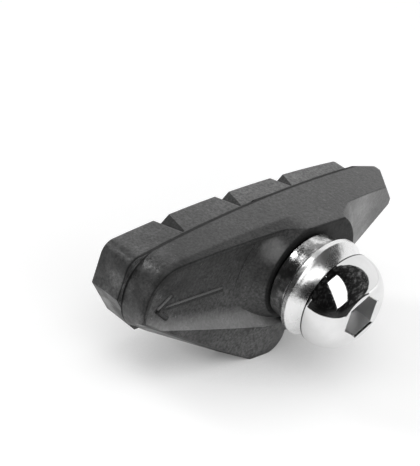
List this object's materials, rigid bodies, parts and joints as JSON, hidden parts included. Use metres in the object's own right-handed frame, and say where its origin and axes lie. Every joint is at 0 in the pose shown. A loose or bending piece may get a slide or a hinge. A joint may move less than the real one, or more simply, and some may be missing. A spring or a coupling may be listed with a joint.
{
  "type": "bicycle rim brake pad",
  "caption": "Moulded rubber rim brake pad with a chevron-grooved friction block, a tyre guide and a threaded stud carrying a thick washer and a domed hex-socket nut.",
  "frame": {"origin": "on the stud's axis at the seat of its flange, where a brake arm is clamped", "axes": "+X along the pad from the leading end to the trailing end, +Y out of the friction face towards the rim, -Y along the stud to the nut, +Z to the edge whose curve follows the wheel"},
  "size_m": [0.0483, 0.0211, 0.0183],
  "materials": {
    "rubber": "matt dark grey moulded rubber with a fine grain",
    "chrome": "bright chrome plating"
  },
  "bodies": {
    "root": {"pad_rubber": "rubber", "stud": "chrome", "washer": "chrome", "dome_nut": "chrome"}
  },
  "joints": []
}
